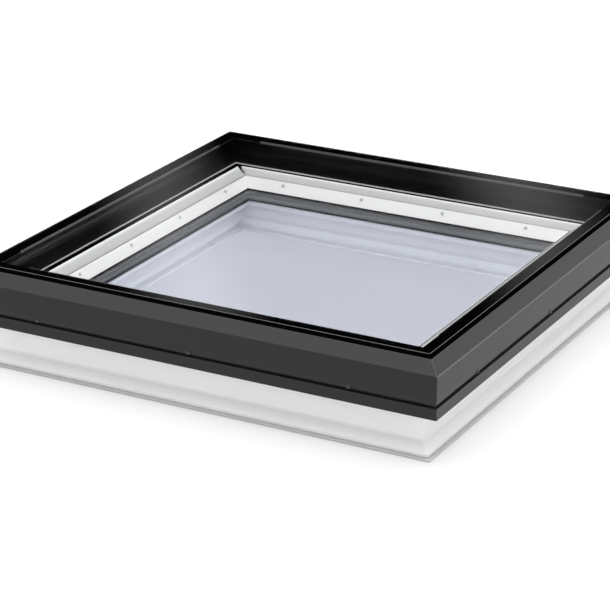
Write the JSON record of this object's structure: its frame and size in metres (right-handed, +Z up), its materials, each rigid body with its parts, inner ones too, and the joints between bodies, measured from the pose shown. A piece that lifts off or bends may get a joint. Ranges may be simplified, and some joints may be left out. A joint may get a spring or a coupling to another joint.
{
  "type": "roof skylight",
  "caption": "Square fixed flat-roof skylight with a white PVC kerb, glazed white sash, dark grey aluminium cover frame and flat black-edged top pane.",
  "frame": {"origin": "centre of the kerb's footprint, on the roof deck", "axes": "+Z up, -Y the front side, +X the right side"},
  "size_m": [1.0596, 1.0596, 0.216],
  "materials": {
    "kerb_pvc": "white PVC, satin, extruded",
    "sash_pvc": "white PVC, satin, extruded",
    "strip_pvc": "white PVC, satin, extruded",
    "bead_pvc": "white PVC, smooth",
    "foam": "expanded foam",
    "black_rubber": "black EPDM",
    "seal_grey": "grey soft PVC",
    "sealant": "black sealant",
    "packer_plastic": "dark moulded plastic",
    "zinc_steel": "zinc-plated",
    "dark_steel": "dark grey coated",
    "unit_glass": "clear",
    "film": "clear film",
    "cover_glass": "clear, polished edge",
    "spacer_plastic": "grey warm-edge spacer",
    "mill_aluminium": "mill finish",
    "lip_grey": "grey, satin",
    "cover_paint": "dark grey powder coat, fine satin"
  },
  "bodies": {
    "root": {"base_frame": "kerb_pvc", "insulation_front": "foam", "insulation_right": "foam", "insulation_back": "foam", "insulation_left": "foam", "lower_seal": "black_rubber", "sash_frame": "sash_pvc", "sash_packers": "packer_plastic", "frame_screws": "zinc_steel", "sash_seal": "black_rubber", "strip_front": "strip_pvc", "strip_right": "strip_pvc", "strip_back": "strip_pvc", "strip_left": "strip_pvc", "corner_pads": "packer_plastic", "bead_front": "bead_pvc", "bead_right": "bead_pvc", "bead_back": "bead_pvc", "bead_left": "bead_pvc", "bead_seal": "seal_grey", "bead_screws": "zinc_steel", "upper_tape": "black_rubber", "lower_tape": "black_rubber", "setting_blocks": "packer_plastic", "outer_pane": "unit_glass", "spacer": "spacer_plastic", "butyl_upper": "sealant", "butyl_lower": "sealant", "edge_seal": "sealant", "ply_upper": "unit_glass", "interlayer": "film", "ply_lower": "unit_glass", "cover_seal": "black_rubber", "rail_front": "cover_paint", "rail_right": "cover_paint", "rail_back": "cover_paint", "rail_left": "cover_paint", "corner_cleats": "mill_aluminium", "cover_gasket": "black_rubber", "lip_front": "lip_grey", "lip_right": "lip_grey", "lip_back": "lip_grey", "lip_left": "lip_grey", "cover_pane": "cover_glass", "cover_screws": "dark_steel", "fixing_brackets": "zinc_steel", "bracket_screws": "zinc_steel"}
  },
  "joints": []
}
